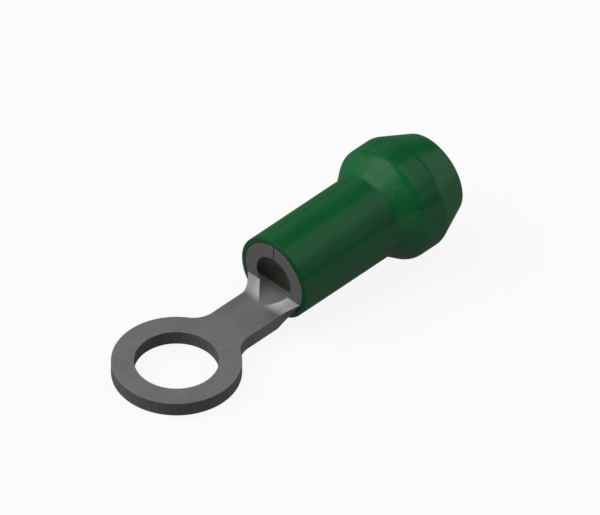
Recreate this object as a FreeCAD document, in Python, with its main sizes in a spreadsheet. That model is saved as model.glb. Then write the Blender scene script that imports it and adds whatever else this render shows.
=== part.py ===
import FreeCAD, Part
import math
import os
import Sketcher
from FreeCAD import Vector

# Insulated ring terminal for a crimped wire end, in two pieces: a body stamped and rolled
# from one sheet of tin-plated copper, and a green nylon sleeve that is pressed over its barrel
# and swells to a hollow bulb round the wire's insulation.
#
# Frame, in millimetres: the origin is the centre of the stud hole on the ring's underside,
# +Z is the stud's axis and points up, and +X runs from the ring to the wire.

SIZES = [
    ("sheet", 0.8, "thickness of the copper sheet, and so of the tongue and the barrel's wall"),
    ("ring_od", 6.65, "outer diameter of the ring"),
    ("stud_hole", 4.3, "hole for a 4 mm stud, with normal clearance"),
    ("neck_width", 2.6, "width of the straight neck between the ring and the barrel"),
    ("neck_blend", 1.35, "inside radius where the neck runs into the ring"),
    ("barrel_front", 6.95, "from the stud's axis to the barrel's front face"),
    ("barrel_od", 4.0, "outer diameter of the rolled barrel"),
    ("barrel_length", 6.7, "length of the rolled barrel"),
    ("seam_gap", 0.04, "gap left where the rolled edges of the sheet meet"),
    ("entry_chamfer", 0.3, "bevel that leads the strands into the barrel"),
    ("form_length", 1.0, "length over which the flat neck is formed into the barrel's round"),
    ("form_rise", 0.5, "how far the sheet's edges have risen when they reach the barrel"),
    ("form_angle", 45.0, "where the neck's lower corner lands on the barrel's round, in degrees"),
    ("trough_lead", 0.1, "from the start of the forming to the tip of the trough"),
    ("sleeve_fit", 0.01, "gap all round between the barrel and the pressed-on sleeve"),
    ("sleeve_wall", 0.29, "wall of the sleeve"),
    ("flare_length", 1.15, "length of the cone that opens from the tube to the bulb"),
    ("bulb_rise", 0.85, "how far the bulb stands out from the tube"),
    ("bulb_length", 1.45, "length of the bulb between its two corners"),
    ("closing_length", 1.95, "length of the cone that closes the bulb to the wire entry"),
    ("bulb_round", 0.8, "outside radius of the bulb's two corners"),
    ("entry_land", 0.4, "length of the straight hole at the wire entry"),
]

# Stations along the formed neck, as shares of its length.
FORM_STATIONS = (0.25, 0.5, 0.75, 1.0)

# Two lengths closer than this are the same size, in millimetres.
SAME_SIZE = 1e-4

# Each feature after a piece's first changes its volume by at least this, in cubic millimetres.
LEAST_CHANGE = 1e-4

OUT_FOLDER = "parts"

doc = FreeCAD.newDocument("ring_terminal")


def make_sheet():
    """The driving dimensions: one row each, with its name, its value and what it measures."""
    sheet = doc.addObject("Spreadsheet::Sheet", "Sizes")
    for row, (name, value, meaning) in enumerate(SIZES, start=1):
        sheet.set(f"A{row}", name)
        sheet.set(f"B{row}", str(value))
        sheet.set(f"C{row}", meaning)
        sheet.setAlias(f"B{row}", name)
    doc.recompute()
    return sheet


def size(name):
    """The value that the sheet holds for a named size, for a sketch's first guess."""
    return float(sizes.get(name))


def new_body(label):
    body = doc.addObject("PartDesign::Body", label)
    body.Label = label
    return body


def new_sketch(body, name, plane, offset=None):
    """An empty sketch on one of the body's own planes, moved along its normal by offset."""
    sketch = body.newObject("Sketcher::SketchObject", name)
    for feature in body.Origin.OriginFeatures:
        if feature.Role == plane:
            sketch.AttachmentSupport = [(feature, "")]
    sketch.MapMode = "FlatFace"
    if offset:
        sketch.setExpression("AttachmentOffset.Base.z", offset)
    return sketch


def drive(sketch, name, expression, *definition):
    """A dimension of the sketch that follows the sheet."""
    index = sketch.addConstraint(Sketcher.Constraint(*definition))
    sketch.renameConstraint(index, name)
    sketch.setExpression(f"Constraints.{name}", expression)


def relate(sketch, *definition):
    sketch.addConstraint(Sketcher.Constraint(*definition))


def line(sketch, start, end):
    return sketch.addGeometry(Part.LineSegment(Vector(*start, 0), Vector(*end, 0)), False)


def arc(sketch, centre, radius, first, last):
    """An arc that turns anticlockwise from its first angle to its last, both in radians."""
    circle = Part.Circle(Vector(*centre, 0), Vector(0, 0, 1), radius)
    return sketch.addGeometry(Part.ArcOfCircle(circle, first, last), False)


def arc_between(sketch, start, end, radius):
    """An arc that turns anticlockwise from start to end, with its centre on their left."""
    run = (end[0] - start[0], end[1] - start[1])
    chord = math.hypot(*run)
    reach = math.sqrt(radius ** 2 - chord ** 2 / 4)
    centre = (
        (start[0] + end[0]) / 2 - run[1] / chord * reach,
        (start[1] + end[1]) / 2 + run[0] / chord * reach,
    )
    first = math.atan2(start[1] - centre[1], start[0] - centre[0])
    last = math.atan2(end[1] - centre[1], end[0] - centre[0])
    return arc(sketch, centre, radius, first, last)


def circle(sketch, centre, radius):
    return sketch.addGeometry(Part.Circle(Vector(*centre, 0), Vector(0, 0, 1), radius), False)


def extrude(body, kind, name, sketch, length):
    feature = body.newObject(kind, name)
    feature.Profile = sketch
    feature.setExpression("Length", length)
    return feature


def round_edges(feature, radius, along):
    """Names of the feature's circular edges of this radius, centred this far along X."""
    found = []
    for number, edge in enumerate(feature.Shape.Edges, start=1):
        if not isinstance(edge.Curve, Part.Circle):
            continue
        same_radius = abs(edge.Curve.Radius - radius) < SAME_SIZE
        same_place = abs(edge.Curve.Center.x - along) < SAME_SIZE
        if same_radius and same_place:
            found.append(f"Edge{number}")
    return found


# Tongue: the flat ring and its neck, cut from the sheet

def tongue_outline(body):
    """The ring's round runs through two blends into the straight neck, which ends square."""
    ring = size("ring_od") / 2
    half = size("neck_width") / 2
    blend = size("neck_blend")
    end = size("barrel_front") - size("form_length")
    blend_y = half + blend
    blend_x = math.sqrt((ring + blend) ** 2 - blend_y ** 2)
    turn = math.atan2(blend_y, blend_x)

    sketch = new_sketch(body, "tongue_outline", "XY_Plane")
    rim = arc(sketch, (0, 0), ring, turn, 2 * math.pi - turn)
    upper_blend = arc(sketch, (blend_x, blend_y), blend, math.pi + turn, 1.5 * math.pi)
    upper_side = line(sketch, (blend_x, half), (end, half))
    square_end = line(sketch, (end, half), (end, -half))
    lower_side = line(sketch, (end, -half), (blend_x, -half))
    lower_blend = arc(sketch, (blend_x, -blend_y), blend, 0.5 * math.pi, math.pi - turn)
    hole = circle(sketch, (0, 0), size("stud_hole") / 2)

    relate(sketch, "Coincident", rim, 3, -1, 1)
    relate(sketch, "Coincident", hole, 3, -1, 1)
    relate(sketch, "Tangent", rim, 1, upper_blend, 1)
    relate(sketch, "Tangent", upper_blend, 2, upper_side, 1)
    relate(sketch, "Coincident", upper_side, 2, square_end, 1)
    relate(sketch, "Coincident", square_end, 2, lower_side, 1)
    relate(sketch, "Tangent", lower_side, 2, lower_blend, 1)
    relate(sketch, "Tangent", lower_blend, 2, rim, 2)
    relate(sketch, "Horizontal", upper_side)
    relate(sketch, "Symmetric", square_end, 1, square_end, 2, -1)
    relate(sketch, "Symmetric", upper_blend, 3, lower_blend, 3, -1)
    drive(sketch, "ring", "Sizes.ring_od", "Diameter", rim, 2 * ring)
    drive(sketch, "stud_hole", "Sizes.stud_hole", "Diameter", hole, size("stud_hole"))
    drive(sketch, "blend", "Sizes.neck_blend", "Radius", upper_blend, blend)
    drive(sketch, "neck", "Sizes.neck_width", "DistanceY", square_end, 2, square_end, 1, 2 * half)
    drive(sketch, "neck_end", "Sizes.barrel_front - Sizes.form_length",
          "DistanceX", -1, 1, square_end, 1, end)
    return sketch


# Formed neck: the flat strip lifts its edges and takes the barrel's round

def flat_section(body):
    """The neck's own rectangle, where the forming starts."""
    half = size("neck_width") / 2
    top = size("sheet")
    sketch = new_sketch(body, "form_0", "YZ_Plane", "Sizes.barrel_front - Sizes.form_length")
    bottom_edge = line(sketch, (-half, 0), (half, 0))
    right_edge = line(sketch, (half, 0), (half, top))
    top_edge = line(sketch, (half, top), (-half, top))
    left_edge = line(sketch, (-half, top), (-half, 0))
    relate(sketch, "Coincident", bottom_edge, 2, right_edge, 1)
    relate(sketch, "Coincident", right_edge, 2, top_edge, 1)
    relate(sketch, "Coincident", top_edge, 2, left_edge, 1)
    relate(sketch, "Coincident", left_edge, 2, bottom_edge, 1)
    relate(sketch, "Horizontal", bottom_edge)
    relate(sketch, "Vertical", right_edge)
    relate(sketch, "Horizontal", top_edge)
    relate(sketch, "Vertical", left_edge)
    relate(sketch, "Symmetric", bottom_edge, 1, bottom_edge, 2, -1, 1)
    drive(sketch, "width", "Sizes.neck_width", "DistanceX", bottom_edge, 1, bottom_edge, 2, 2 * half)
    drive(sketch, "thickness", "Sizes.sheet", "DistanceY", right_edge, 1, right_edge, 2, top)
    return sketch


def formed_section(body, number, share):
    """The strip's section at a share of the formed length.

    Its underside is an arc that touches the tongue's plane, and its sides are arcs that end at
    the raised edge of the sheet. Lower corners move evenly and raised edges gather pace, so the
    top leaves the tongue without a kink. At a share of 1 every arc lies on the barrel's round.
    """
    half = size("neck_width") / 2
    round_r = size("barrel_od") / 2
    angle = math.radians(size("form_angle"))
    edge_z = size("sheet") + size("form_rise")
    edge_y = math.sqrt(round_r ** 2 - (round_r - edge_z) ** 2)
    corner = (half + (round_r * math.sin(angle) - half) * share,
              round_r * (1 - math.cos(angle)) * share)
    edge = (half + (edge_y - half) * share ** 2,
            size("sheet") + size("form_rise") * share ** 2)
    under_r = (corner[0] ** 2 + corner[1] ** 2) / (2 * corner[1])

    place = f"Sizes.barrel_front - Sizes.form_length * {1 - share}"
    sketch = new_sketch(body, f"form_{number}", "YZ_Plane", place)
    under = arc_between(sketch, (-corner[0], corner[1]), corner, under_r)
    right = arc_between(sketch, corner, edge, round_r / share)
    top = line(sketch, edge, (-edge[0], edge[1]))
    left = arc_between(sketch, (-edge[0], edge[1]), (-corner[0], corner[1]), round_r / share)

    relate(sketch, "Coincident", under, 2, right, 1)
    relate(sketch, "Coincident", right, 2, top, 1)
    relate(sketch, "Coincident", top, 2, left, 1)
    relate(sketch, "Coincident", left, 2, under, 1)
    relate(sketch, "PointOnObject", under, 3, -2)
    relate(sketch, "Horizontal", under, 1, under, 2)
    relate(sketch, "Symmetric", top, 1, top, 2, -2)
    relate(sketch, "Tangent", under, -1)
    relate(sketch, "Equal", left, right)
    half_text = "Sizes.neck_width / 2"
    drive(sketch, "corner_y",
          f"{half_text} + (Sizes.barrel_od / 2 * sin(Sizes.form_angle * 1 deg) - {half_text}) * {share}",
          "DistanceX", -1, 1, under, 2, corner[0])
    drive(sketch, "corner_z",
          f"Sizes.barrel_od / 2 * (1 - cos(Sizes.form_angle * 1 deg)) * {share}",
          "DistanceY", -1, 1, under, 2, corner[1])
    drive(sketch, "edge_y",
          f"{half_text} + (sqrt((Sizes.barrel_od - Sizes.sheet - Sizes.form_rise)"
          f" * (Sizes.sheet + Sizes.form_rise)) - {half_text}) * {share ** 2}",
          "DistanceX", -1, 1, top, 1, edge[0])
    drive(sketch, "edge_z", f"Sizes.sheet + Sizes.form_rise * {share ** 2}",
          "DistanceY", -1, 1, top, 1, edge[1])
    drive(sketch, "side", f"Sizes.barrel_od / 2 / {share}", "Radius", right, round_r / share)
    return sketch


# Barrel: the sheet rolled to a tube with its seam on top

def barrel_circle(body, name, place, expression, radius):
    """A circle round the barrel's axis, in a plane across it."""
    height = size("barrel_od") / 2
    sketch = new_sketch(body, name, "YZ_Plane", place)
    rim = circle(sketch, (0, height), radius)
    relate(sketch, "PointOnObject", rim, 3, -2)
    drive(sketch, "height", "Sizes.barrel_od / 2", "DistanceY", -1, 1, rim, 3, height)
    drive(sketch, "across", expression, "Diameter", rim, 2 * radius)
    return sketch


def seam_outline(body):
    """A narrow slot that reaches from inside the bore out through the top of the barrel."""
    half = size("seam_gap") / 2
    low = size("barrel_od") / 2
    high = size("barrel_od") + size("sheet")
    sketch = new_sketch(body, "seam_outline", "YZ_Plane", "Sizes.barrel_front")
    bottom_edge = line(sketch, (-half, low), (half, low))
    right_edge = line(sketch, (half, low), (half, high))
    top_edge = line(sketch, (half, high), (-half, high))
    left_edge = line(sketch, (-half, high), (-half, low))
    relate(sketch, "Coincident", bottom_edge, 2, right_edge, 1)
    relate(sketch, "Coincident", right_edge, 2, top_edge, 1)
    relate(sketch, "Coincident", top_edge, 2, left_edge, 1)
    relate(sketch, "Coincident", left_edge, 2, bottom_edge, 1)
    relate(sketch, "Vertical", right_edge)
    relate(sketch, "Horizontal", top_edge)
    relate(sketch, "Symmetric", bottom_edge, 1, bottom_edge, 2, -2)
    relate(sketch, "Vertical", left_edge)
    drive(sketch, "gap", "Sizes.seam_gap", "DistanceX", bottom_edge, 1, bottom_edge, 2, 2 * half)
    drive(sketch, "from_axis", "Sizes.barrel_od / 2", "DistanceY", -1, 1, bottom_edge, 1, low)
    drive(sketch, "past_top", "Sizes.barrel_od + Sizes.sheet", "DistanceY", -1, 1, top_edge, 1, high)
    return sketch


def make_terminal_body():
    """One piece of sheet: flat tongue, formed neck and rolled barrel."""
    body = new_body("terminal_body")
    tongue = extrude(body, "PartDesign::Pad", "tongue", tongue_outline(body), "Sizes.sheet")
    doc.recompute()

    sections = [flat_section(body)]
    for number, share in enumerate(FORM_STATIONS, start=1):
        sections.append(formed_section(body, number, share))
    formed = body.newObject("PartDesign::AdditiveLoft", "formed_neck")
    formed.Profile = sections[0]
    formed.Sections = sections[1:]
    doc.recompute()

    outside = barrel_circle(body, "barrel_outside", "Sizes.barrel_front",
                            "Sizes.barrel_od", size("barrel_od") / 2)
    barrel = extrude(body, "PartDesign::Pad", "barrel", outside, "Sizes.barrel_length")
    doc.recompute()

    # The bore starts in the formed neck, where it leaves the pointed trough between the edges.
    bore_r = size("barrel_od") / 2 - size("sheet")
    tip = "Sizes.barrel_front - Sizes.form_length + Sizes.trough_lead"
    inside = barrel_circle(body, "bore_outline", tip, "Sizes.barrel_od - 2 * Sizes.sheet", bore_r)
    bore = extrude(body, "PartDesign::Pocket", "bore", inside,
                   "Sizes.form_length - Sizes.trough_lead + Sizes.barrel_length")
    bore.Reversed = True
    doc.recompute()

    rear = size("barrel_front") + size("barrel_length")
    lead_in = body.newObject("PartDesign::Chamfer", "wire_lead_in")
    lead_in.Base = (bore, round_edges(bore, bore_r, rear))
    lead_in.setExpression("Size", "Sizes.entry_chamfer")
    doc.recompute()

    seam = extrude(body, "PartDesign::Pocket", "seam", seam_outline(body), "Sizes.barrel_length")
    seam.Reversed = True
    body.Tip = seam
    doc.recompute()
    return body, [tongue, formed, barrel, bore, lead_in, seam]


# Sleeve: a thin nylon tube that swells to a hollow bulb

def sleeve_profile(body):
    """Half of the sleeve's length section, as radius over distance from its front face.

    The outside runs tube, opening cone, bulb and closing cone. The inside fits the barrel, keeps
    the wall under the cone and the bulb, and closes to a short straight hole for the wire.
    """
    inner = size("barrel_od") / 2 + size("sleeve_fit")
    wall = size("sleeve_wall")
    outer = inner + wall
    bulb = outer + size("bulb_rise")
    tube_end = size("barrel_length")
    bulb_start = tube_end + size("flare_length")
    bulb_end = bulb_start + size("bulb_length")
    rear = bulb_end + size("closing_length")
    step = wall * math.tan(math.atan2(size("bulb_rise"), size("flare_length")) / 2)

    sketch = new_sketch(body, "sleeve_profile", "XZ_Plane")
    points = [
        (0, outer), (tube_end, outer), (bulb_start, bulb), (bulb_end, bulb), (rear, outer),
        (rear, inner), (rear - size("entry_land"), inner),
        (bulb_end, bulb - wall), (bulb_start + step, bulb - wall),
        (tube_end + step, inner), (0, inner),
    ]
    names = ["tube", "flare", "bulb", "closing", "rim", "land",
             "inner_closing", "inner_bulb", "inner_flare", "fit", "front"]
    edges = {}
    for name, start, end in zip(names, points, points[1:] + points[:1]):
        edges[name] = line(sketch, start, end)
    for name, following in zip(names, names[1:] + names[:1]):
        relate(sketch, "Coincident", edges[name], 2, edges[following], 1)
    for name in ("tube", "bulb", "land", "inner_bulb", "fit"):
        relate(sketch, "Horizontal", edges[name])
    for name in ("rim", "front"):
        relate(sketch, "Vertical", edges[name])
    relate(sketch, "PointOnObject", edges["front"], 1, -2)
    relate(sketch, "Parallel", edges["flare"], edges["inner_flare"])

    bore_text = "Sizes.barrel_od / 2 + Sizes.sleeve_fit"
    drive(sketch, "bore_r", bore_text, "DistanceY", -1, 1, edges["fit"], 1, inner)
    drive(sketch, "land_r", bore_text, "DistanceY", -1, 1, edges["land"], 1, inner)
    drive(sketch, "tube_wall", "Sizes.sleeve_wall", "DistanceY", edges["front"], 1,
          edges["front"], 2, wall)
    drive(sketch, "rim_wall", "Sizes.sleeve_wall", "DistanceY", edges["rim"], 2,
          edges["rim"], 1, wall)
    drive(sketch, "flare_wall", "Sizes.sleeve_wall", "Distance", edges["fit"], 1,
          edges["flare"], wall)
    drive(sketch, "bulb_wall", "Sizes.sleeve_wall", "DistanceY", edges["inner_bulb"], 1,
          edges["bulb"], 2, wall)
    drive(sketch, "bulb_rise", "Sizes.bulb_rise", "DistanceY", edges["tube"], 2,
          edges["flare"], 2, size("bulb_rise"))
    drive(sketch, "tube_length", "Sizes.barrel_length", "DistanceX", edges["tube"], 1,
          edges["tube"], 2, tube_end)
    drive(sketch, "flare_length", "Sizes.flare_length", "DistanceX", edges["flare"], 1,
          edges["flare"], 2, size("flare_length"))
    drive(sketch, "bulb_length", "Sizes.bulb_length", "DistanceX", edges["bulb"], 1,
          edges["bulb"], 2, size("bulb_length"))
    drive(sketch, "closing_length", "Sizes.closing_length", "DistanceX", edges["closing"], 1,
          edges["closing"], 2, size("closing_length"))
    drive(sketch, "entry_land", "Sizes.entry_land", "DistanceX", edges["land"], 2,
          edges["land"], 1, size("entry_land"))
    relate(sketch, "Vertical", edges["bulb"], 2, edges["inner_bulb"], 1)
    return sketch


def make_insulating_sleeve():
    """The sleeve is turned about the barrel's axis, flush with the barrel's front face."""
    body = new_body("insulating_sleeve")
    turned = body.newObject("PartDesign::Revolution", "turned_wall")
    turned.Profile = sleeve_profile(body)
    for feature in body.Origin.OriginFeatures:
        if feature.Role == "X_Axis":
            turned.ReferenceAxis = (feature, [""])
    turned.Angle = 360
    doc.recompute()

    wall = size("sleeve_wall")
    bulb = size("barrel_od") / 2 + size("sleeve_fit") + wall + size("bulb_rise")
    bulb_start = size("barrel_length") + size("flare_length")
    bulb_end = bulb_start + size("bulb_length")
    step = wall * math.tan(math.atan2(size("bulb_rise"), size("flare_length")) / 2)
    outer_corners = round_edges(turned, bulb, bulb_start) + round_edges(turned, bulb, bulb_end)
    outer_round = body.newObject("PartDesign::Fillet", "bulb_corners")
    outer_round.Base = (turned, outer_corners)
    outer_round.setExpression("Radius", "Sizes.bulb_round")
    doc.recompute()

    inner_corners = round_edges(outer_round, bulb - wall, bulb_start + step)
    inner_corners += round_edges(outer_round, bulb - wall, bulb_end)
    inner_round = body.newObject("PartDesign::Fillet", "bulb_inner_corners")
    inner_round.Base = (outer_round, inner_corners)
    inner_round.setExpression("Radius", "Sizes.bulb_round - Sizes.sleeve_wall")
    body.Tip = inner_round
    body.setExpression("Placement.Base.x", "Sizes.barrel_front")
    body.setExpression("Placement.Base.z", "Sizes.barrel_od / 2")
    doc.recompute()
    return body, [turned, outer_round, inner_round]


def check_document():
    """Stops if any object failed, or holds a shape that isn't one sound solid."""
    for item in doc.Objects:
        if "Invalid" in item.State or "Error" in item.State:
            raise RuntimeError(f"{item.Name} failed: {item.State}")
    for body, features in ((terminal_body, terminal_steps), (insulating_sleeve, sleeve_steps)):
        shape = body.Shape
        if shape.isNull() or not shape.isValid() or len(shape.Solids) != 1:
            raise RuntimeError(f"{body.Label} isn't one sound solid")
        volumes = [feature.Shape.Volume for feature in features]
        for before, after, feature in zip(volumes, volumes[1:], features[1:]):
            change = after - before
            if feature.TypeId in ("PartDesign::Pad", "PartDesign::AdditiveLoft"):
                wrong_way = change < 0
            elif feature.TypeId == "PartDesign::Pocket":
                wrong_way = change > 0
            else:
                wrong_way = False
            if wrong_way or abs(change) < LEAST_CHANGE:
                raise RuntimeError(f"{feature.Name} changed the volume by {change}")
        print(body.Label, "volume", round(shape.Volume, 3), "mm3, box", shape.BoundBox)


sizes = make_sheet()
terminal_body, terminal_steps = make_terminal_body()
insulating_sleeve, sleeve_steps = make_insulating_sleeve()
check_document()

os.makedirs(OUT_FOLDER, exist_ok=True)
for piece in (terminal_body, insulating_sleeve):
    piece.Shape.exportStep(os.path.join(OUT_FOLDER, f"{piece.Label}.step"))
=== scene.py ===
# %% [markdown]
# # An insulated ring terminal
# The real part is two pieces. A ring and neck are stamped from tinned copper sheet, and the
# neck's end is rolled to a barrel for the wire. A green nylon sleeve is pressed over that barrel
# and swells behind it to a hollow bulb for the wire's insulation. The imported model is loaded
# first, because it says where each piece sits and how large it is. Its box is kept, so that the
# finished look can be compared with it at the end.

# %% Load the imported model
import math

import bmesh
import bpy
import numpy as np
from mathutils import Matrix, Quaternion, Vector


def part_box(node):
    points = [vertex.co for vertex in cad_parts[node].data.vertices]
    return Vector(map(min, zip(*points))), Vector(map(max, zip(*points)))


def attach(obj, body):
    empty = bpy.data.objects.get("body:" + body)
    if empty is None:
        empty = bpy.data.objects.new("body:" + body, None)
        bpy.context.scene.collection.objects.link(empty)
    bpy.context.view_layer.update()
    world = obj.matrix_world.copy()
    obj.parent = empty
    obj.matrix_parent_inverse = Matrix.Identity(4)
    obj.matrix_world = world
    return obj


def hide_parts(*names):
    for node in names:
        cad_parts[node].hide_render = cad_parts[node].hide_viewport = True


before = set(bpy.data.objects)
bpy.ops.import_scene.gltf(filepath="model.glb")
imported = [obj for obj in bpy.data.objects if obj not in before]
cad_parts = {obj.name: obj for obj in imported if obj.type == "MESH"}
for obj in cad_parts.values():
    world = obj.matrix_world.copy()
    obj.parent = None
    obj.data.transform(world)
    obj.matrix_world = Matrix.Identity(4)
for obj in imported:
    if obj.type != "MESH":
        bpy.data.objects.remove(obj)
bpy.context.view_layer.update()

MM = 0.001

# %% [markdown]
# ## The sizes
# All of them are in millimetres, which are easy to read, and become metres only when a mesh is
# written. +X runs from the ring to the wire, +Z up the stud, and the stud hole's centre on the
# underside is the origin. A reader can change a number here and see which surface follows it.

# %% Sizes of the stamped sheet and of the sleeve
SHEET = 0.8
RING_R = 3.325
HOLE_R = 2.15
NECK_HALF = 1.3
NECK_BLEND_R = 1.35
NECK_END = 5.95

BARREL_START = 6.95
BARREL_END = 13.65
BARREL_R = 2.0
BORE_R = BARREL_R - SHEET
LEAD_IN = 0.3
SEAM_HALF = 0.02
EDGE_RISE = 0.5
CORNER_ANGLE = math.radians(45)

SLEEVE_BORE_R = 2.01
SLEEVE_WALL = 0.29
SLEEVE_R = SLEEVE_BORE_R + SLEEVE_WALL
BULB_R = 3.15
SLEEVE_END = 18.2
ENTRY_LAND = 0.4

# %% [markdown]
# ## The camera
# An orthographic camera keeps the barrel's two sides parallel, which suits a small part seen from
# close by. Its three axes are written straight into the camera's matrix: right, up, and the way
# back from the part to the lens. The ring's centre is put where the picture has it.

# %% Camera
PICTURE_WIDTH = 600
PICTURE_HEIGHT = 515
PIXELS_PER_MM = 19.765
CAMERA_TURN = math.radians(-45.0)
CAMERA_HEIGHT = math.radians(41.62)
RING_PIXEL = (176.04, 359.7)
CAMERA_DISTANCE = 200
NEAREST_SEEN = 1
FARTHEST_SEEN = 10000


def view_axes(turn, height):
    """Right is level; back rises by the camera's height; up is square to both of them."""
    right = np.array([math.cos(turn), math.sin(turn), 0.0])
    level_back = np.array([math.sin(turn), -math.cos(turn), 0.0])
    back = level_back * math.cos(height) + np.array([0.0, 0.0, math.sin(height)])
    return right, np.cross(back, right), back


right, up, back = view_axes(CAMERA_TURN, CAMERA_HEIGHT)
shift_right = ((PICTURE_WIDTH - 1) / 2 - RING_PIXEL[0]) / PIXELS_PER_MM
shift_up = (RING_PIXEL[1] - (PICTURE_HEIGHT - 1) / 2) / PIXELS_PER_MM
target = np.array([0.0, 0.0, SHEET]) + right * shift_right + up * shift_up

lens = bpy.data.cameras.new("camera")
lens.type = "ORTHO"
lens.ortho_scale = PICTURE_WIDTH / PIXELS_PER_MM * MM
lens.clip_start = NEAREST_SEEN * MM
lens.clip_end = FARTHEST_SEEN * MM
camera = bpy.data.objects.new("camera", lens)
place = np.eye(4)
place[:3, 0] = right
place[:3, 1] = up
place[:3, 2] = back
place[:3, 3] = (target + back * CAMERA_DISTANCE) * MM
camera.matrix_world = Matrix(place.tolist())
bpy.context.scene.collection.objects.link(camera)
bpy.context.scene.camera = camera
print("camera aims at", np.round(target, 3).tolist(), "mm")

# %% [markdown]
# ## From grids of points to a closed mesh
# Each surface below is a grid of points, worked out as whole arrays. A piece is a list of such
# grids whose borders share the same points. Joining them takes three steps: number the points,
# turn neighbouring numbers into four-cornered faces, and merge the points that coincide. Every
# face also carries one number for its finish. It is 1 on a sheared edge of the sheet and on the
# inner wall of the sleeve, and 0 elsewhere.

# %% Mesh helpers
# In metres, because the points that are merged already lie in a mesh
MERGE_DISTANCE = 2e-8


def quads_of(rows, columns):
    """The corner numbers of every face between neighbouring rows and columns of a grid."""
    number = np.arange(rows * columns).reshape(rows, columns)
    corners = [number[:-1, :-1], number[:-1, 1:], number[1:, 1:], number[1:, :-1]]
    return np.stack(corners, axis=-1).reshape(-1, 4)


def close_round(grid):
    """Repeats the first column behind the last, so that the grid closes on itself."""
    return np.concatenate([grid, grid[:, :1]], axis=1)


def join_grids(name, grids):
    """One mesh from (grid, mark) pairs; mark is a number, or one number per column of faces."""
    points, faces, marks = [], [], []
    count = 0
    for grid, mark in grids:
        rows, columns = grid.shape[:2]
        points.append(grid.reshape(-1, 3) * MM)
        faces.append(quads_of(rows, columns) + count)
        mark = np.broadcast_to(np.asarray(mark, float), (rows - 1, columns - 1))
        marks.append(mark.ravel())
        count += rows * columns
    mesh = bpy.data.meshes.new(name)
    mesh.from_pydata(np.concatenate(points).tolist(), [], np.concatenate(faces).tolist())
    layer = mesh.attributes.new("mark", "FLOAT", "FACE")
    layer.data.foreach_set("value", np.concatenate(marks))
    return mesh


def close_mesh(mesh):
    """Merges the grids' shared borders, turns all faces outward and counts what stayed open."""
    shell = bmesh.new()
    shell.from_mesh(mesh)
    bmesh.ops.remove_doubles(shell, verts=shell.verts, dist=MERGE_DISTANCE)
    bmesh.ops.recalc_face_normals(shell, faces=shell.faces)
    open_edges = sum(1 for edge in shell.edges if len(edge.link_faces) != 2)
    volume = shell.calc_volume() / MM ** 3
    shell.to_mesh(mesh)
    shell.free()
    print(mesh.name, len(mesh.polygons), "faces,", open_edges, "open edges,",
          round(volume, 3), "mm3")


def place_piece(mesh, node):
    """The mesh becomes a piece that rides on the part and stands in for its node, which is hidden.
    """
    piece = bpy.data.objects.new(mesh.name, mesh)
    bpy.context.scene.collection.objects.link(piece)
    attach(piece, "root")
    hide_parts(node)
    low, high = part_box(node)
    points = np.empty(len(mesh.vertices) * 3)
    mesh.vertices.foreach_get("co", points)
    points = points.reshape(-1, 3)
    difference = np.array([points.min(axis=0) - np.array(low), points.max(axis=0) - np.array(high)])
    print(piece.name, "box less the node's, in mm:", np.round(difference / MM, 4).tolist())
    return piece


# %% [markdown]
# ## The sleeve's section
# A moulded sleeve is round all the way along, so its whole shape is one closed section: radius
# against distance along the axis. The corners are given as on a drawing, each with the radius of
# its round. A real moulding has no perfectly sharp edge, and the small rounds at the mouth, at
# the foot of the cone and at the rear rim are what catches a line of light. Inside the bulb the
# rounds are smaller by the wall, which keeps that wall even.

# %% Sleeve section
CONE_LENGTH = 1.15
BELLY_LENGTH = 1.45
BULB_ROUND = 0.8
FLARE_ROUND = 0.12
MOUTH_ROUND = 0.05
INNER_MOUTH_ROUND = 0.03
REAR_ROUND = 0.1
ENTRY_ROUND = 0.06
SECTION_STEP = 0.3
ROUND_POINTS = 9


def rounded_section(corners, radii, step, round_points):
    """A closed path whose corners are arcs.

    At a corner where the path turns by an angle, the arc starts radius * tan(angle / 2) before
    it. After a turn of a, the arc has moved radius * sin(a) on and radius * (1 - cos(a)) aside.
    """
    corners = np.asarray(corners, float)
    path = []
    for before, corner, after, radius in zip(np.roll(corners, 1, 0), corners,
                                             np.roll(corners, -1, 0), radii):
        ahead = (corner - before) / np.linalg.norm(corner - before)
        onward = (after - corner) / np.linalg.norm(after - corner)
        turn = math.acos(float(np.clip(ahead @ onward, -1, 1)))
        aside = onward - ahead * (ahead @ onward)
        aside = aside / np.linalg.norm(aside)
        start = corner - ahead * radius * math.tan(turn / 2)
        if path:
            path.append(straight_run(path[-1][-1], start, step))
        angle = np.linspace(0, turn, round_points)[:, None]
        path.append(start + radius * (np.sin(angle) * ahead + (1 - np.cos(angle)) * aside))
    path.append(straight_run(path[-1][-1], path[0][0], step))
    return np.concatenate(path)


def straight_run(start, end, step):
    """Points between two ends, not counting them, about one step apart."""
    pieces = max(int(np.linalg.norm(end - start) / step), 1)
    share = np.arange(1, pieces)[:, None] / pieces
    return start + (end - start) * share


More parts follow.
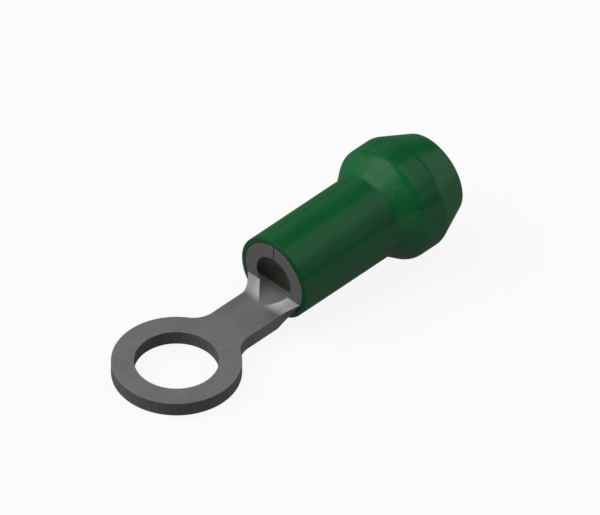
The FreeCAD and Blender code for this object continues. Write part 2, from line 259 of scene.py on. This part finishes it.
flare_start = BARREL_END
bulb_start = flare_start + CONE_LENGTH
bulb_end = bulb_start + BELLY_LENGTH
inner_step = SLEEVE_WALL * math.tan(math.atan2(BULB_R - SLEEVE_R, CONE_LENGTH) / 2)
inner_bulb_r = BULB_R - SLEEVE_WALL
inner_round = BULB_ROUND - SLEEVE_WALL
SECTION = [
    # distance along the axis, radius, round of the corner
    (BARREL_START, SLEEVE_R, MOUTH_ROUND),
    (flare_start, SLEEVE_R, FLARE_ROUND),
    (bulb_start, BULB_R, BULB_ROUND),
    (bulb_end, BULB_R, BULB_ROUND),
    (SLEEVE_END, SLEEVE_R, REAR_ROUND),
    (SLEEVE_END, SLEEVE_BORE_R, ENTRY_ROUND),
    (SLEEVE_END - ENTRY_LAND, SLEEVE_BORE_R, REAR_ROUND),
    (bulb_end, inner_bulb_r, inner_round),
    (bulb_start + inner_step, inner_bulb_r, inner_round),
    (flare_start + inner_step, SLEEVE_BORE_R, FLARE_ROUND),
    (BARREL_START, SLEEVE_BORE_R, INNER_MOUTH_ROUND),
]
section = rounded_section([row[:2] for row in SECTION], [row[2] for row in SECTION],
                          SECTION_STEP, ROUND_POINTS)
print("sleeve section has", len(section), "points")

# %% [markdown]
# ## Turning the sleeve
# The section is carried round the barrel's axis. Every point keeps its distance along the axis,
# and its radius is shared out between Y and Z by the sine and cosine of the angle. The result is
# one closed shell with its inner and outer walls, as the real moulding is. The inner wall gets its
# own mark, because light that has come through the nylon makes it paler than the outside.

# %% Sleeve
SLEEVE_STEPS = 192
MOUTH_BAND = 0.1


def turn_about_barrel(section, steps):
    """x stays, y = radius * sin(angle), z = axis height + radius * cos(angle)."""
    angle = np.linspace(0, 2 * math.pi, steps, endpoint=False)[:, None]
    along, radius = section[:, 0][None, :], section[:, 1][None, :]
    x = along + 0 * angle
    y = radius * np.sin(angle)
    z = BARREL_R + radius * np.cos(angle)
    return np.stack([x, y, z], axis=-1)


# The path runs out along the outside and back along the inner wall, where its radius first drops
# below the wall's middle at the rear rim. The front rim keeps the colour of the outside.
middle = SLEEVE_BORE_R + SLEEVE_WALL / 2
behind_rim = np.arange(len(section)) >= np.argmax(section[:, 1] < middle)
inner = (behind_rim & (section[:, 0] > BARREL_START + MOUTH_BAND)).astype(float)
turned = turn_about_barrel(section, SLEEVE_STEPS)
turned = np.concatenate([turned, turned[:1]], axis=0)
sleeve_mesh = join_grids("nylon_sleeve", [(close_round(turned), inner)])
print("section points on the inner wall:", int(inner.sum()), "of", len(section))
close_mesh(sleeve_mesh)
sleeve = place_piece(sleeve_mesh, "insulating_sleeve")

# %% [markdown]
# ## The stamped outline
# The punch cuts a ring that runs through two hollow blends into a straight neck. Seen from the
# hole's centre, every direction meets that outline once. So the flat faces can be a fan of points
# between the hole and the outline, both taken at the same direction.

# %% Ring and neck outline
RIM_STEPS = 72
BLEND_STEPS = 14
SIDE_STEPS = 6
END_STEPS = 8
FAN_STEPS = 6
WALL_STEPS = 4


def arc_points(centre, radius, start, end, steps):
    """centre + radius * (cos, sin) of an angle that runs evenly from start to end."""
    angle = np.linspace(start, end, steps + 1)
    return np.stack([centre[0] + radius * np.cos(angle), centre[1] + radius * np.sin(angle)], -1)


def half_outline():
    """From the neck's upper end corner along the side, the blend and the rim to the far end.

    The blend's circle touches the neck's side and the rim, so its centre lies one blend radius
    beside the neck and, from the ring's centre, as far off as the two radii added up.
    """
    blend_y = NECK_HALF + NECK_BLEND_R
    blend_x = math.sqrt((RING_R + NECK_BLEND_R) ** 2 - blend_y ** 2)
    turn = math.atan2(blend_y, blend_x)
    side_x = np.linspace(NECK_END, blend_x, SIDE_STEPS + 1)
    side = np.stack([side_x, np.full_like(side_x, NECK_HALF)], axis=-1)
    blend = arc_points((blend_x, blend_y), NECK_BLEND_R, 1.5 * math.pi, math.pi + turn, BLEND_STEPS)
    rim = arc_points((0, 0), RING_R, turn, math.pi, RIM_STEPS)
    return np.concatenate([side[:-1], blend[:-1], rim])


def at_height(flat, z):
    """Gives points of a plan their height."""
    return np.concatenate([flat, np.full(flat.shape[:-1] + (1,), float(z))], axis=-1)


upper_half = half_outline()
lower_half = upper_half[-2::-1] * [1, -1]
cut_outline = np.concatenate([upper_half, lower_half])
end_y = np.linspace(-NECK_HALF, NECK_HALF, 2 * END_STEPS + 1)[1:]
end_line = np.stack([np.full_like(end_y, NECK_END), end_y], axis=-1)
outline = np.concatenate([cut_outline, end_line])
direction = np.arctan2(outline[:, 1], outline[:, 0])
hole = HOLE_R * np.stack([np.cos(direction), np.sin(direction)], axis=-1)
print("outline has", len(outline), "points, the closing one repeats the first:",
      bool(np.allclose(outline[0], outline[-1])))

# %% [markdown]
# ## Flat faces and cut walls
# The top and the underside are the same fan at two heights. The walls of the hole and of the
# outline are the same plan points at a few heights between them. They are marked as sheared,
# because a punch leaves them rougher and darker than the rolled faces of the sheet.

# %% Ring and neck surfaces
fan_share = np.linspace(0, 1, FAN_STEPS + 1)[:, None, None]
fan = hole + (outline - hole) * fan_share
heights = np.linspace(0, SHEET, WALL_STEPS + 1)
outer_wall = np.stack([at_height(cut_outline, z) for z in heights])
hole_wall = np.stack([at_height(hole, z) for z in heights])
flat_grids = [(at_height(fan, SHEET), 0.0), (at_height(fan, 0.0), 0.0),
              (outer_wall, 1.0), (hole_wall, 1.0)]
print("ring and neck grids:", [grid.shape[:2] for grid, mark in flat_grids])

# %% [markdown]
# ## The formed neck
# Between the flat neck and the barrel the sheet's edges are lifted, and the barrel's bore runs out
# as a pointed trough. A section across this stretch is one closed loop: the underside bends up, two
# sides lean out, and two raised edges stand beside the trough. The lower corners move evenly with
# the distance. The raised edges move with its square, so they leave the flat neck without a kink.

# %% Formed neck
UNDER_STEPS = 2 * END_STEPS
TROUGH_STEPS = UNDER_STEPS + 2 * WALL_STEPS
FORM_STATIONS = 24


def bowed_line(start, end, bend, steps):
    """A line from start to end that bows out to its right as an arc of the given bend.

    With q the distance from the chord's middle and h its half length, the bow is
    bend * (h^2 - q^2) / (sqrt(1 - (bend * q)^2) + sqrt(1 - (bend * h)^2)).
    """
    chord = end - start
    length = np.linalg.norm(chord, axis=-1, keepdims=True)
    outward = np.stack([chord[..., 1], -chord[..., 0]], axis=-1) / length
    share = np.linspace(0, 1, steps + 1)[None, :, None]
    q = (share - 0.5) * length[:, None, :]
    h = 0.5 * length[:, None, :]
    bend = bend[:, None, None]
    bow = bend * (h ** 2 - q ** 2) / (np.sqrt(1 - (bend * q) ** 2) + np.sqrt(1 - (bend * h) ** 2))
    return start[:, None, :] + chord[:, None, :] * share + outward[:, None, :] * bow


def formed_loops(share):
    """Sections (y, z) at shares of the formed length, each as its runs in order round the loop.

    The lower corners move with the share and the raised edges with its square. The underside is
    the arc through both corners and the origin: z = bend * y^2 / (1 + sqrt(1 - (bend * y)^2)),
    with bend = 2 * z / (y^2 + z^2) at a corner. The trough is the bore's circle below the edges.
    """
    corner = np.stack([NECK_HALF + (BARREL_R * math.sin(CORNER_ANGLE) - NECK_HALF) * share,
                       BARREL_R * (1 - math.cos(CORNER_ANGLE)) * share], axis=-1)
    edge_top = SHEET + EDGE_RISE
    full_y = math.sqrt(BARREL_R ** 2 - (BARREL_R - edge_top) ** 2)
    edge = np.stack([NECK_HALF + (full_y - NECK_HALF) * share ** 2,
                     SHEET + EDGE_RISE * share ** 2], axis=-1)
    under_y = corner[:, :1] * np.linspace(-1, 1, UNDER_STEPS + 1)
    under_bend = 2 * corner[:, 1:] / (corner ** 2).sum(axis=-1, keepdims=True)
    under_z = under_bend * under_y ** 2 / (1 + np.sqrt(1 - (under_bend * under_y) ** 2))
    under = np.stack([under_y, under_z], axis=-1)
    right_side = bowed_line(corner, edge, share / BARREL_R, WALL_STEPS)
    left_side = right_side[:, ::-1] * [-1, 1]
    half_angle = np.arccos(np.clip((BARREL_R - edge[:, 1:]) / BORE_R, -1, 1))
    angle = half_angle * np.linspace(1, -1, TROUGH_STEPS + 1)
    trough = np.stack([BORE_R * np.sin(angle), BARREL_R - BORE_R * np.cos(angle)], axis=-1)
    right_top = bowed_line(edge, trough[:, 0], 0 * share, END_STEPS)
    left_top = right_top[:, ::-1] * [-1, 1]
    return {"left side": left_side, "under": under, "right side": right_side,
            "right top": right_top, "trough": trough, "left top": left_top}


def at_stations(flat, x):
    """Puts each row of (y, z) points at its own distance along the part."""
    place = np.broadcast_to(np.asarray(x, float)[:, None, None], flat.shape[:-1] + (1,))
    return np.concatenate([place, flat], axis=-1)


form_share = np.linspace(0, 1, FORM_STATIONS + 1)
form_x = NECK_END + (BARREL_START - NECK_END) * form_share
formed = formed_loops(form_share)
SHEARED_RUNS = ("left side", "right side")
form_grids = [(at_stations(run, form_x), float(name in SHEARED_RUNS))
              for name, run in formed.items()]
print("trough is", round(2 * float(formed["trough"][-1, 0, 0]), 3), "mm wide at the barrel")

# %% [markdown]
# ## The barrel
# Rolling brings the two edges of the sheet together on top, where a hair of a gap stays as the
# seam. The outer wall takes over the formed neck's last section, so that the two meet point for
# point. The bore opens with a short cone at the rear, which guides the strands in.

# %% Barrel
UPPER_STEPS = 28
BARREL_STATIONS = 12


def round_axis(radius, start, end, steps):
    """y = radius * sin(angle), z = axis height - radius * cos(angle), the angle from the bottom."""
    angle = np.linspace(start, end, steps + 1)
    return np.stack([radius * np.sin(angle), BARREL_R - radius * np.cos(angle)], axis=-1)


def seam_angle(radius):
    """Where the wall at this radius stops, half a gap short of the top."""
    return math.pi - math.asin(SEAM_HALF / radius)


def mirrored(run):
    """The same run on the other side, walked the other way."""
    return run[::-1] * [-1, 1]


def line_between(start, end, steps):
    """Evenly spaced points from start to end."""
    return start + (end - start) * np.linspace(0, 1, steps + 1)[:, None]


last = {name: run[-1] for name, run in formed.items()}
lower_outer = np.concatenate([last["left side"], last["under"][1:-1], last["right side"]])
outer_start = math.acos((BARREL_R - last["right side"][-1, 1]) / BARREL_R)
inner_start = math.acos((BARREL_R - last["trough"][0, 1]) / BORE_R)
outer_upper = round_axis(BARREL_R, outer_start, seam_angle(BARREL_R), UPPER_STEPS)


def inner_wall(radius):
    """The bore's wall from the seam's right edge down, round the bottom and up to its left edge.

    Its lower part is the trough's last run, scaled about the axis from the bore's radius.
    """
    upper = round_axis(radius, inner_start, seam_angle(radius), UPPER_STEPS)
    lower = (last["trough"] - [0, BARREL_R]) * radius / BORE_R + [0, BARREL_R]
    return np.concatenate([upper[::-1][:-1], lower, mirrored(upper[::-1])[1:]])


outer_wall_loop = np.concatenate([mirrored(outer_upper)[:-1], lower_outer, outer_upper[1:]])
barrel_x = np.append(np.linspace(BARREL_START, BARREL_END - LEAD_IN, BARREL_STATIONS), BARREL_END)
bore_radius = np.append(np.full(BARREL_STATIONS, BORE_R), BORE_R + LEAD_IN)
inner_loops = np.stack([inner_wall(radius) for radius in bore_radius])
outer_loops = np.broadcast_to(outer_wall_loop, (len(barrel_x),) + outer_wall_loop.shape)
right_seam = np.stack([line_between(outer_wall_loop[-1], loop[0], END_STEPS)
                       for loop in inner_loops])
left_seam = np.stack([line_between(loop[-1], outer_wall_loop[0], END_STEPS)
                      for loop in inner_loops])
print("bore points:", inner_loops.shape, "outer points:", outer_loops.shape)

# %% [markdown]
# ## The barrel's end faces
# Both end faces are the sheet's thickness seen edge-on. The rear one closes the whole ring. The
# front one is two arms that start level on the raised edges of the neck and end at the seam, so
# each is a grid between a run on the outer wall and a run on the bore.

# %% Barrel surfaces and the finished sheet
across = np.linspace(0, 1, END_STEPS + 1)[:, None, None]
rear_face = outer_wall_loop + (inner_loops[-1][::-1] - outer_wall_loop) * across
bore_upper = round_axis(BORE_R, inner_start, seam_angle(BORE_R), UPPER_STEPS)
right_arm = outer_upper + (bore_upper - outer_upper) * across
left_arm = right_arm * [-1, 1]
barrel_grids = [
    (at_stations(outer_loops, barrel_x), 0.0), (at_stations(inner_loops, barrel_x), 0.0),
    (at_stations(right_seam, barrel_x), 1.0), (at_stations(left_seam, barrel_x), 1.0),
    (at_stations(rear_face, np.full(END_STEPS + 1, BARREL_END)), 1.0),
    (at_stations(right_arm, np.full(END_STEPS + 1, BARREL_START)), 1.0),
    (at_stations(left_arm, np.full(END_STEPS + 1, BARREL_START)), 1.0),
]
sheet_mesh = join_grids("stamped_terminal", flat_grids + form_grids + barrel_grids)
close_mesh(sheet_mesh)
terminal = place_piece(sheet_mesh, "terminal_body")

# %% [markdown]
# ## Edges that catch the light
# A punched and tumbled part has edges broken by a few hundredths of a millimetre. A Bevel modifier
# on the sharp angles gives them that round, and its hardened normals keep the flat faces flat.

# %% Broken edges
EDGE_BREAK = 0.025
BREAK_SEGMENTS = 2
SHARP_ANGLE = math.radians(24)


def break_edges(piece, width, segments):
    """Smooth shading up to the sharp angle, and a narrow round on every edge beyond it."""
    piece.data.shade_smooth()
    piece.data.set_sharp_from_angle(angle=SHARP_ANGLE)
    bevel = piece.modifiers.new("edge_break", "BEVEL")
    bevel.limit_method = "ANGLE"
    bevel.angle_limit = SHARP_ANGLE
    bevel.width = width * MM
    bevel.segments = segments
    bevel.use_clamp_overlap = True
    bevel.harden_normals = True


break_edges(terminal, EDGE_BREAK, BREAK_SEGMENTS)
sleeve.data.shade_smooth()
print("edges broken by", EDGE_BREAK, "mm in", BREAK_SEGMENTS, "segments")

# %% [markdown]
# ## Shader arithmetic
# A finish is easiest to read as arithmetic on values that change over the surface. The first class
# wraps a node's output so that +, - and * add the Math nodes. The second one adds any other
# node: its settings are set first, and then its sockets get plain values or links.

# %% Finish helpers
class Value:
    """A node's output that takes part in arithmetic."""

    def __init__(self, finish, socket):
        self.finish = finish
        self.socket = socket

    def output(self, name):
        """Another output of the same node."""
        return Value(self.finish, self.socket.node.outputs[name])

    def math(self, operation, *inputs):
        """One Math node with its inputs in order."""
        return self.finish.node("ShaderNodeMath", {"operation": operation}, dict(enumerate(inputs)))

    def __add__(self, other):
        return self.math("ADD", self, other)

    def __radd__(self, other):
        return self.math("ADD", other, self)

    def __sub__(self, other):
        return self.math("SUBTRACT", self, other)

    def __rsub__(self, other):
        return self.math("SUBTRACT", other, self)

    def __mul__(self, other):
        return self.math("MULTIPLY", self, other)

    def __rmul__(self, other):
        return self.math("MULTIPLY", other, self)

    def between(self, low, high):
        """0 below low, 1 above high, and a soft step from one to the other."""
        sockets = {"Value": self, "From Min": low, "From Max": high}
        return self.finish.node("ShaderNodeMapRange", {"interpolation_type": "SMOOTHSTEP"}, sockets)

    def past(self, span):
        """0 before a span given in mm, 1 beyond it, and a soft step over it."""
        return self.between(span[0] * MM, span[1] * MM)


class Finish:
    """A new node tree that starts empty, and one method that adds a node to it."""

    def __init__(self, name, owner=None):
        self.owner = owner or bpy.data.materials.new(name)
        self.owner.use_nodes = True
        self.tree = self.owner.node_tree
        self.tree.nodes.clear()

    def node(self, kind, settings=None, sockets=None):
        """Adds a node, applies its settings and fills its sockets; gives its first output."""
        made = self.tree.nodes.new(kind)
        for name, value in (settings or {}).items():
            if name == "stops":
                self.set_stops(made.color_ramp, value)
            else:
                setattr(made, name, value)
        for name, value in (sockets or {}).items():
            if isinstance(value, Value):
                self.tree.links.new(value.socket, made.inputs[name])
            else:
                made.inputs[name].default_value = value
        shown = [socket for socket in made.outputs if socket.enabled]
        return Value(self, shown[0]) if shown else None

    def set_stops(self, ramp, stops):
        """Gives a colour ramp its (position, colour) stops."""
        while len(ramp.elements) < len(stops):
            ramp.elements.new(1.0)
        for element, (position, colour) in zip(ramp.elements, stops):
            element.position = position
            element.color = (*colour, 1.0)

    def mix_colours(self, share, first, second):
        """first where share is 0 and second where it is 1."""
        first = first if isinstance(first, Value) else (*first, 1.0)
        second = second if isinstance(second, Value) else (*second, 1.0)
        sockets = {0: share, 6: first, 7: second}
        return self.node("ShaderNodeMix", {"data_type": "RGBA", "clamp_factor": True}, sockets)

    def position(self):
        """The point of the surface on the piece itself, in metres."""
        return self.node("ShaderNodeTexCoord").output("Object")

    def stretched(self, vector, scale):
        """The vector multiplied by its own scale along each axis."""
        return self.node("ShaderNodeVectorMath", {"operation": "MULTIPLY"}, {0: vector, 1: scale})

    def noise(self, vector, per_mm, detail=2.0):
        """Soft random values about a middle of 0.5; per_mm is how many swings fit in a mm."""
        sockets = {"Vector": vector, "Scale": per_mm / MM, "Detail": detail}
        return self.node("ShaderNodeTexNoise", {}, sockets)

    def mark(self):
        """The number that each face was given when its grid was made."""
        return self.node("ShaderNodeAttribute", {"attribute_name": "mark"}).output("Fac")

    def surface(self, shader):
        """Makes the shader the look of the whole surface."""
        self.node("ShaderNodeOutputMaterial", {}, {"Surface": shader})


# %% [markdown]
# ## Tin on stamped copper
# Tin plate on a rolled sheet is a satin grey. It is a metal, so its colour is in its reflection,
# and a high roughness spreads that reflection wide. Cloudy patches about a millimetre wide and the
# fine grain that the rolls left along the strip break it up. The neck and the trough are painted a
# little brighter, as painted light. Where the punch sheared the sheet, on the barrel's end faces,
# the plate is dull, so there the finish is a matt grey with no metal and no gloss in it. The punch
# leaves fine upright scores on those walls, torn ones darker than smeared. Inside the bore the
# finish is matt with no metal too, and its colour is a painted shadow that starts just inside the
# mouth, nearer to it the higher up the wall, and turns paler further in as painted bounce light.
# Toward the barrel the walls are painted paler, as painted light on the neck's sides, up to its
# end faces, which are grey again.

# %% Tin colours and where they change
TIN = (0.262, 0.258, 0.252)
TIN_CLOUD = (0.300, 0.296, 0.289)
# Painted light on the neck and in the trough
TROUGH_PAINTED_LIGHT = (0.380, 0.375, 0.366)
# Painted shadow inside the bore, and painted bounce light further in
BORE_PAINTED_SHADOW = (0.060, 0.056, 0.051)
BORE_PAINTED_BOUNCE = (0.480, 0.450, 0.410)
TORN_EDGE = (0.150, 0.150, 0.150)
SMEARED_EDGE = (0.180, 0.180, 0.182)
# Painted light on the neck's cut walls toward the barrel
NECK_WALL_PAINTED_LIGHT = (0.310, 0.310, 0.317)
END_FACE = (0.182, 0.180, 0.182)

CLOUDS_PER_MM = 0.9
GRAIN_STRETCH = (4.0, 12.0, 12.0)
SCORE_STRETCH = (9.0, 9.0, 1.2)
CLOUD_WEIGHT = 0.4
PATCH_RANGE = (0.38, 0.62)
SCORE_RANGE = (0.35, 0.65)
TIN_ROUGH = 0.64
GRAIN_ROUGH = 0.08
CLOUD_ROUGH = 0.06
WALL_ROUGH = 0.58
BORE_ROUGHER = 0.3
# How much the painted shadow's edge in the bore slants with the height
SHADOW_SLANT = 0.8

# Spans in mm along the part
TROUGH_LIGHT_SPAN = (4.4, 6.4)
NECK_WALL_LIGHT_SPAN = (2.0, 7.2)
END_FACE_SPAN = (6.85, 6.93)
# Spans in mm of the depth, which grows along the part and with the height: the painted shadow
# in the bore starts over the first and turns to painted bounce light over the second
SHADOW_EDGE_SPAN = (7.56, 7.72)
BOUNCE_SPAN = (7.7, 9.4)
# Spans in mm out from the barrel's axis
OUTSIDE_TROUGH = (1.22, 1.60)
OUTSIDE_BORE = (1.3, 1.5)

# %% Tin finish
tin = Finish("tinned_copper")
point = tin.position()
sheared = tin.mark()
clouds = tin.noise(point, CLOUDS_PER_MM)
grain = tin.noise(tin.stretched(point, GRAIN_STRETCH), 1.0)
scores = tin.noise(tin.stretched(point, SCORE_STRETCH), 1.0, detail=3.0)
axes = tin.node("ShaderNodeSeparateXYZ", {}, {0: point})
along, height = axes.output("X"), axes.output("Z")
across_axis = {0: tin.stretched(point, (0.0, 1.0, 1.0)), 1: (0.0, 0.0, BARREL_R * MM)}
from_axis = tin.node("ShaderNodeVectorMath", {"operation": "DISTANCE"}, across_axis).output("Value")
# The painted shadow in the bore: dark past a slanted line, and matt with no metal there
depth = along + SHADOW_SLANT * (height - SHEET * MM)
deep = depth.past(SHADOW_EDGE_SPAN) * (1 - from_axis.past(OUTSIDE_BORE))
# Painted light on the neck and in the trough, near the barrel's axis
trough_light_mask = along.past(TROUGH_LIGHT_SPAN) * (1 - from_axis.past(OUTSIDE_TROUGH))

patches = (CLOUD_WEIGHT * clouds + (1 - CLOUD_WEIGHT) * grain).between(*PATCH_RANGE)
face_colour = tin.mix_colours(patches, TIN, TIN_CLOUD)
face_colour = tin.mix_colours(trough_light_mask, face_colour, TROUGH_PAINTED_LIGHT)
# Painted shadow darkest near the bore's mouth, painted bounce light paler further in
bore_painted_shade = tin.mix_colours(depth.past(BOUNCE_SPAN), BORE_PAINTED_SHADOW, BORE_PAINTED_BOUNCE)
face_colour = tin.mix_colours(deep, face_colour, bore_painted_shade)
wall_colour = tin.mix_colours(scores.between(*SCORE_RANGE), TORN_EDGE, SMEARED_EDGE)
# Painted light on the cut walls toward the barrel
wall_colour = tin.mix_colours(along.past(NECK_WALL_LIGHT_SPAN), wall_colour, NECK_WALL_PAINTED_LIGHT)
wall_colour = tin.mix_colours(along.past(END_FACE_SPAN), wall_colour, END_FACE)
colour = tin.mix_colours(sheared, face_colour, wall_colour)

face_rough = TIN_ROUGH + GRAIN_ROUGH * (grain - 0.5) + CLOUD_ROUGH * (clouds - 0.5)
rough = face_rough + sheared * (WALL_ROUGH - face_rough) + BORE_ROUGHER * deep
relief = grain * (1 - sheared) + sheared * scores
bump = tin.node("ShaderNodeBump", {}, {"Height": relief, "Strength": 0.25, "Distance": 0.01 * MM})
tin.surface(tin.node("ShaderNodeBsdfPrincipled", {}, {
    "Base Color": colour, "Metallic": (1 - deep) * (1 - sheared), "Specular IOR Level": 0.0,
    "Roughness": rough, "Normal": bump}))
terminal.data.materials.append(tin.owner)
print("tin finish has", len(tin.tree.nodes), "nodes")

# %% [markdown]
# ## Green nylon
# Nylon is slightly cloudy and its skin is glossy but not polished. Its colour is nearly all in the
# body, so the base is a deep green, and the gloss is a clear coat over it. It is painted a little
# darker along the tube, as painted shade of the metal barrel right behind the wall, and darker at
# the mouth's lip, as painted shade. The cone is painted paler, as painted light, and so is the
# inner wall, which light comes through. Long faint streaks follow the flow of the melt. Every
# clear coat turns to a mirror where the surface turns away from the eye, and a white table would
# bleach the outline there. So Layer Weight thins the coat towards that edge.

# %% Nylon colours and where they change
# The tube's green is a touch darker than the bulb's: painted shade of the metal barrel behind the
# wall
NYLON_TUBE = (0.0062, 0.104, 0.0310)
# Painted light: the cone is paler than the tube and the bulb
NYLON_CONE_PAINTED_LIGHT = (0.0100, 0.160, 0.0470)
NYLON_BULB = (0.0066, 0.104, 0.0315)
NYLON_DEEP = (0.0045, 0.088, 0.0255)
# Painted shade on the sleeve's front face at the mouth
NYLON_MOUTH_PAINTED_SHADE = (0.0040, 0.080, 0.0230)
NYLON_INSIDE = (0.0180, 0.270, 0.0850)

STREAK_STRETCH = (0.22, 4.0, 4.0)
CLOUDY_PER_MM = 0.5
SKIN_PER_MM = 2.2
SHADE_RANGE = (-0.25, 0.25)
DEEPEST_SHADE = 0.45
NYLON_ROUGH = 0.24
CLOUDY_ROUGH = 0.10
STREAK_ROUGH = 0.06
EDGE_GLOSS = 0.12
FACING_RANGE = (0.20, 1.00)

# Spans in mm along the part: the lip at the mouth, the foot of the cone and the bulb's shoulder
LIP_SPAN = (BARREL_START + 0.02, BARREL_START + MOUTH_BAND)
FLARE_SPAN = (BARREL_END - 0.3, BARREL_END + 0.3)
SHOULDER_SPAN = (bulb_start - 0.3, bulb_start + 0.7)

# %% Nylon finish
nylon = Finish("green_nylon")
point = nylon.position()
along = nylon.node("ShaderNodeSeparateXYZ", {}, {0: point}).output("X")
streaks = nylon.noise(nylon.stretched(point, STREAK_STRETCH), 1.0, detail=3.0)
clouds = nylon.noise(point, CLOUDY_PER_MM)
# The cone is painted paler than the tube, as painted light
body = nylon.mix_colours(along.past(FLARE_SPAN), NYLON_TUBE, NYLON_CONE_PAINTED_LIGHT)
body = nylon.mix_colours(along.past(SHOULDER_SPAN), body, NYLON_BULB)
# The lip at the mouth is painted darker, as painted shade
body = nylon.mix_colours(along.past(LIP_SPAN), NYLON_MOUTH_PAINTED_SHADE, body)
shade = DEEPEST_SHADE * (streaks + clouds - 1.0).between(*SHADE_RANGE)
colour = nylon.mix_colours(shade, body, NYLON_DEEP)
colour = nylon.mix_colours(nylon.mark(), colour, NYLON_INSIDE)

rough = NYLON_ROUGH + CLOUDY_ROUGH * (clouds - 0.5) + STREAK_ROUGH * (streaks - 0.5)
skin = nylon.noise(point, SKIN_PER_MM)
bump = nylon.node("ShaderNodeBump", {}, {"Height": skin, "Strength": 0.08, "Distance": 0.02 * MM})
facing = 1 - nylon.node("ShaderNodeLayerWeight", {}, {"Blend": 0.5}).output("Facing")
gloss = EDGE_GLOSS + (1 - EDGE_GLOSS) * facing.between(*FACING_RANGE)
nylon.surface(nylon.node("ShaderNodeBsdfPrincipled", {}, {
    "Base Color": colour, "Roughness": rough, "IOR": 1.45, "Specular IOR Level": 0.0,
    "Coat Weight": gloss, "Coat Roughness": 0.26, "Coat IOR": 1.25, "Normal": bump}))
sleeve.data.materials.append(nylon.owner)
print("nylon finish has", len(nylon.tree.nodes), "nodes")

# %% [markdown]
# ## The floor
# The part lies as a real one does: tipped a little, with the ring's far end and the bulb's belly
# on the table. The floor is that plane, pale and plain. A share of plain white is mixed in for
# rays from the camera, and for mirror and glass rays, so that the background looks white to them
# all and the part keeps its shadow. The soft light that the floor throws back comes from a darker
# grey, because so large a white table would fill every shade on the part's lower half.

# %% Floor
FLOOR_SIZE = 2000
FLOOR_POINTS = 5
BELLY_X = 15.01
BELLY_Z = -1.1484
FLOOR_SEEN = (0.80, 0.80, 0.80)
FLOOR_BOUNCE = (0.26, 0.26, 0.26)
WHITE_SHARE = 0.90
TABLE_WHITE = (0.968, 0.968, 0.968)


def floor_grid(size):
    """A plane whose height falls evenly from the ring's far end to the bulb's belly."""
    line = np.linspace(-size / 2, size / 2, FLOOR_POINTS)
    x, y = np.meshgrid(line, line)
    z = BELLY_Z * (x + RING_R) / (BELLY_X + RING_R)
    return np.stack([x, y, z], axis=-1)


floor_mesh = join_grids("floor", [(floor_grid(FLOOR_SIZE), 0.0)])
floor = bpy.data.objects.new("floor", floor_mesh)
bpy.context.scene.collection.objects.link(floor)


def seen_directly(finish):
    """1 for rays from the camera, from a mirror or from glass, 0 for light that lands softly."""
    ray = finish.node("ShaderNodeLightPath")
    mirrored_or_through = ray.output("Is Glossy Ray") + ray.output("Is Transmission Ray")
    return (ray.output("Is Camera Ray") + mirrored_or_through).between(0.0, 1.0)


card = Finish("pale_table")
seen = seen_directly(card)
pale = card.mix_colours(seen, FLOOR_BOUNCE, FLOOR_SEEN)
matt = card.node("ShaderNodeBsdfDiffuse", {}, {"Color": pale})
white = card.node("ShaderNodeEmission", {}, {"Color": (1.0, 1.0, 1.0, 1.0), "Strength": 1.0})
card.surface(card.node("ShaderNodeMixShader", {}, {0: WHITE_SHARE * seen, 1: matt, 2: white}))
floor.data.materials.append(card.owner)
floor_tip = math.degrees(math.atan(-BELLY_Z / (BELLY_X + RING_R)))
print("floor tips by", round(floor_tip, 2), "degrees")

# %% [markdown]
# ## Light
# One large soft lamp stands high on the left and gives nearly all the light. The other lamps are
# weak, and are there to be mirrored by the sleeve's gloss: the band lamp makes the long pale band
# on the tube, the front and side lamps are seen in the cone, and the low and rim lamps along the
# tube's two edges. The end lamp lights the walls that face away from the key lamp, and shows in
# the closing cone. The room is dim and a little paler near the horizon. Below the horizon it is
# as white as the table, because a low camera looks past the table's edge.

# %% Lamps and room
bpy.context.scene.view_settings.view_transform = "Standard"
LAMP_DISTANCE = 250
ROOM_TONES = [(0.0, 0.30), (0.04, 0.25), (0.10, 0.05), (1.0, 0.03)]
HORIZON = (-0.02, 0.00)
SOFTBOXES = [
    # name, direction, width and height in mm, brightness, roll in degrees
    ("key", (-0.37, 0.39, 0.84), 240, 240, 3.0, 0.0),
    ("front", (-0.65, -0.25, 0.70), 120, 60, 1.4, -34.9),
    ("band", (0.53, -0.29, 0.80), 200, 90, 1.6, 34.5),
    ("band_low", (0.53, -0.75, 0.40), 130, 90, 0.5, 0.0),
    ("rim", (0.53, 0.77, 0.36), 110, 110, 0.8, 0.0),
    ("end", (0.94, -0.30, 0.14), 290, 150, 1.5, 0.0),
    ("side", (-0.22, 0.93, 0.28), 110, 90, 1.0, 0.0),
]


def aimed(name, data, direction, roll):
    """Links a lamp that stands off in a direction and shines back, rolled about that line."""
    lamp = bpy.data.objects.new(name, data)
    direction = Vector(direction).normalized()
    lamp.location = direction * LAMP_DISTANCE * MM
    turn = Quaternion((0, 0, 1), math.radians(roll))
    lamp.rotation_euler = (direction.to_track_quat("Z", "Y") @ turn).to_euler()
    bpy.context.scene.collection.objects.link(lamp)


def softbox(name, direction, width, height, brightness, roll):
    """A rectangle of even brightness; its power is brightness * pi * its area."""
    data = bpy.data.lights.new(name, "AREA")
    data.shape = "RECTANGLE"
    data.size = width * MM
    data.size_y = height * MM
    data.energy = brightness * math.pi * width * height * MM ** 2
    aimed(name, data, direction, roll)
    print(name, "brightness", brightness, "power", round(data.energy, 3), "W")


for box in SOFTBOXES:
    softbox(*box)

room = bpy.data.worlds.new("room")
bpy.context.scene.world = room
sky = Finish("room", room)
gaze = sky.node("ShaderNodeTexCoord").output("Generated")
level = sky.node("ShaderNodeSeparateXYZ", {}, {0: gaze}).output("Z")
stops = [(place, (grey, grey, grey)) for place, grey in ROOM_TONES]
tone = sky.node("ShaderNodeValToRGB", {"stops": stops}, {"Fac": level})
below = 1 - level.between(*HORIZON)
tone = sky.mix_colours(seen_directly(sky) * below, tone, TABLE_WHITE)
backdrop = sky.node("ShaderNodeBackground", {}, {"Color": tone, "Strength": 1.0})
sky.node("ShaderNodeOutputWorld", {}, {"Surface": backdrop})
